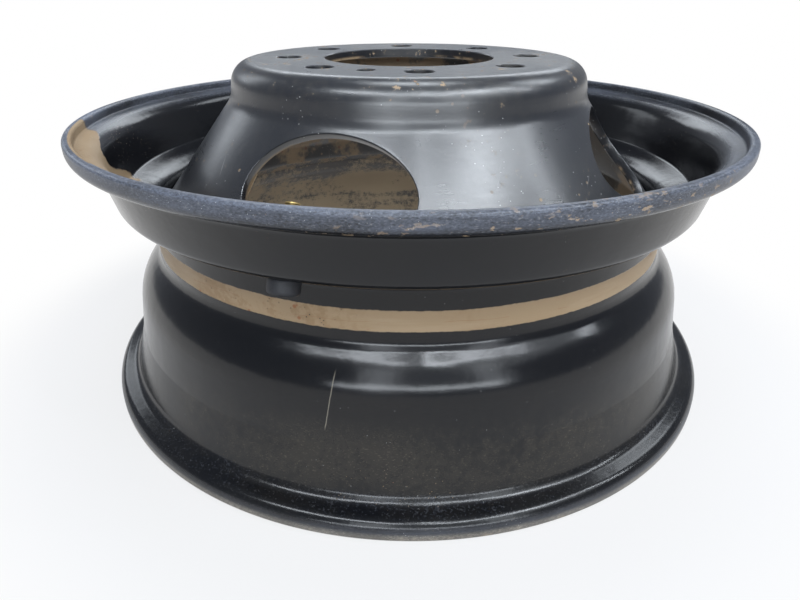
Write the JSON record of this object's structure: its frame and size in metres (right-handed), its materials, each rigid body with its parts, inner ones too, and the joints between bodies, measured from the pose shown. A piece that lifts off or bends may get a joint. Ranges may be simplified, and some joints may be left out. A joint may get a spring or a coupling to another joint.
{
  "type": "truck wheel",
  "caption": "Pressed steel disc wheel with a rolled drop-centre rim, offset disc, round hand holes, a ring of bolt holes and a snap-in tyre valve.",
  "frame": {"origin": "centre of the lower lip, on the plane that the wheel lies on", "axes": "+Z along the axle line towards the nose of the disc; -Y towards the valve and the hand hole in front of it"},
  "size_m": [0.4472, 0.447, 0.2152],
  "materials": {
    "painted_steel": "glossy black spray paint over an older tan coat, scuffed at the lips",
    "valve_rubber": "matt",
    "brass": "turned, slightly dull",
    "spring_steel": "drawn wire"
  },
  "bodies": {
    "wheel": {"rim": "painted_steel", "disc": "painted_steel", "disc_weld": "painted_steel", "valve_body": "valve_rubber", "valve_stem": "brass", "core_plug": "brass", "core_barrel": "brass", "core_seal": "valve_rubber", "core_spring": "spring_steel"},
    "valve_pin": {"core_pin": "brass", "core_washer": "valve_rubber"}
  },
  "joints": [
    {"name": "valve_pin_press", "type": "slide", "parent": "wheel", "child": "valve_pin", "axis": [0, -0.3746, -0.9272], "range_m": [0, 0.0012], "stiffness_N_per_m": 1200, "springref_m": -0.002, "deforming": ["core_spring"]}
  ]
}
